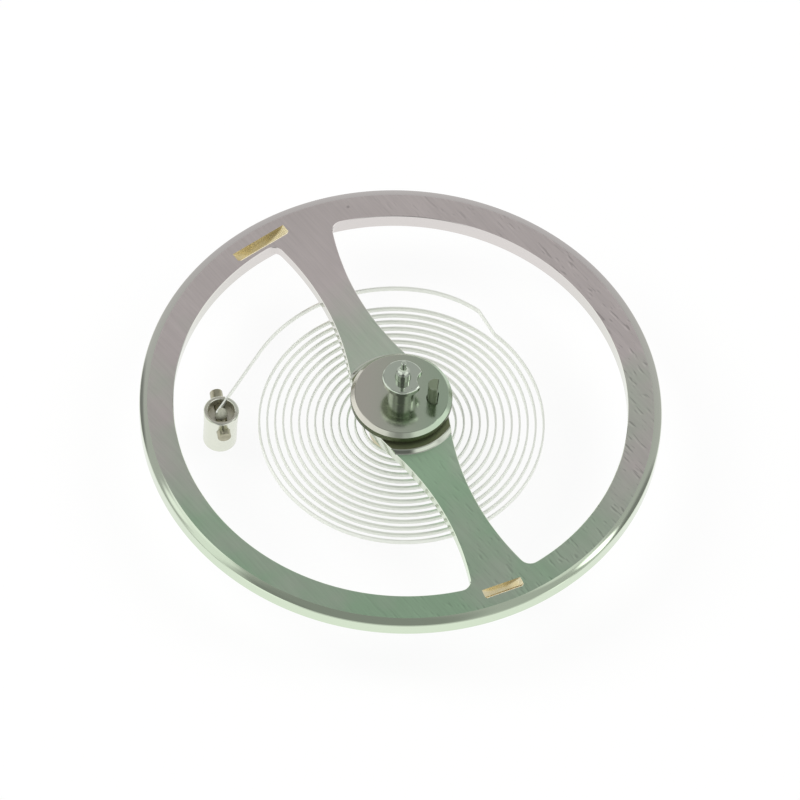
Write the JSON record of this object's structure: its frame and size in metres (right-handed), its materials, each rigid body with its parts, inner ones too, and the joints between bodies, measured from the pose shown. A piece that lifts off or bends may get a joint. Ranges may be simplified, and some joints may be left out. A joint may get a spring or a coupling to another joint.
{
  "type": "balance wheel",
  "caption": "Watch balance: smooth balance wheel on its staff with roller table, safety roller, impulse jewel, collet, and a flat hairspring that runs out to its stud.",
  "frame": {"origin": "tip of the pivot on the hairspring side, on the balance staff's axis", "axes": "+Z along the staff, from the hairspring side to the roller side; the hairspring's stud lies on -X"},
  "size_m": [0.01, 0.01, 0.0031],
  "materials": {
    "plated_wheel": "nickel plated, finely brushed flat faces",
    "polished_steel": "hardened and polished",
    "collet_brass": "turned, bare",
    "hairspring_alloy": "rolled strip, bright",
    "stud_steel": "turned, bare",
    "jewel": "polished, dark",
    "shellac": "set from the melt, amber",
    "cement": "set drop, glossy"
  },
  "bodies": {
    "stud": {"hairspring_stud": "stud_steel", "stud_pin": "stud_steel", "stud_cement": "cement", "hairspring": "hairspring_alloy"},
    "wheel": {"balance_wheel": "plated_wheel", "balance_staff": "polished_steel", "roller_table": "polished_steel", "safety_roller": "polished_steel", "impulse_jewel": "jewel", "jewel_shellac": "shellac", "collet": "collet_brass", "collet_pin": "collet_brass"}
  },
  "joints": [
    {"name": "balance_swing", "type": "hinge", "parent": "stud", "child": "wheel", "pos_m": [0, 0, 0], "axis": [0, 0, 1], "range_deg": [-300, 300], "stiffness_Nm_per_rad": 0.00000077, "deforming": ["hairspring"]}
  ]
}
